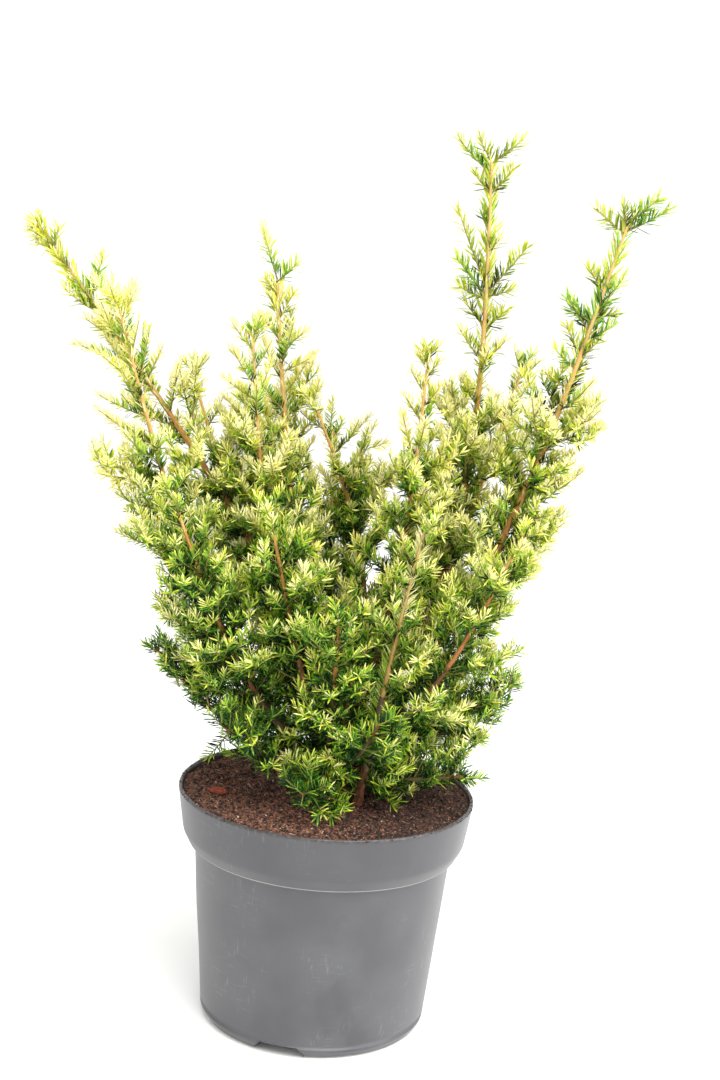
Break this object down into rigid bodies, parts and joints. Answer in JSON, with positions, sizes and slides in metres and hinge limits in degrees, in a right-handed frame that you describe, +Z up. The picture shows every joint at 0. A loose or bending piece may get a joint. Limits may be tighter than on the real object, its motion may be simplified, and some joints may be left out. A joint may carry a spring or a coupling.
{
  "type": "potted yew shrub",
  "caption": "Golden yew shrub with stems fanned out in an open vase and sprays of gold tipped needles, growing in a round plastic nursery pot.",
  "frame": {"origin": "centre of the pot's flat underside", "axes": "+Z up along the pot's axis, -Y towards the front of the plant, +X to the right seen from the front"},
  "size_m": [0.5563, 0.326, 0.835],
  "materials": {
    "pot": "moulded grey nursery plastic, faintly scuffed",
    "soil": "moist peat crumbs and fibres",
    "bark": "thin scaly bark, tan above and grey brown at the foot",
    "foliage": "waxy needles, gold at the tips and green within"
  },
  "bodies": {
    "root": {"pot": "pot", "soil": "soil", "trunk": "bark", "bough_far_left": "bark", "bough_left": "bark", "bough_left_rear": "bark", "bough_left_centre": "bark", "bough_left_inner": "bark", "bough_arched": "bark", "bough_rear_centre": "bark", "bough_tallest": "bark", "bough_far_right": "bark", "bough_right_inner": "bark", "bough_right_rear": "bark", "bough_front_right": "bark", "bough_front_left": "bark", "bough_front": "bark", "bough_rear_left": "bark", "bough_rear_right": "bark", "bough_right_front": "bark", "bough_left_front": "bark", "bough_low_left": "bark", "bough_low_right": "bark", "bough_low_rear": "bark", "bough_low_front": "bark", "bough_low_front_right": "bark", "bough_low_rear_left": "bark", "bough_low_front_left": "bark", "bough_low_centre": "bark", "bough_low_rear_right": "bark", "bough_inner_front": "bark", "foliage_far_left": "foliage", "foliage_left": "foliage", "foliage_left_rear": "foliage", "foliage_left_centre": "foliage", "foliage_left_inner": "foliage", "foliage_arched": "foliage", "foliage_rear_centre": "foliage", "foliage_tallest": "foliage", "foliage_far_right": "foliage", "foliage_right_inner": "foliage", "foliage_right_rear": "foliage", "foliage_front_right": "foliage", "foliage_front_left": "foliage", "foliage_front": "foliage", "foliage_rear_left": "foliage", "foliage_rear_right": "foliage", "foliage_right_front": "foliage", "foliage_left_front": "foliage", "foliage_low_left": "foliage", "foliage_low_right": "foliage", "foliage_low_rear": "foliage", "foliage_low_front": "foliage", "foliage_low_front_right": "foliage", "foliage_low_rear_left": "foliage", "foliage_low_front_left": "foliage", "foliage_low_centre": "foliage", "foliage_low_rear_right": "foliage", "foliage_inner_front": "foliage"}
  },
  "joints": []
}
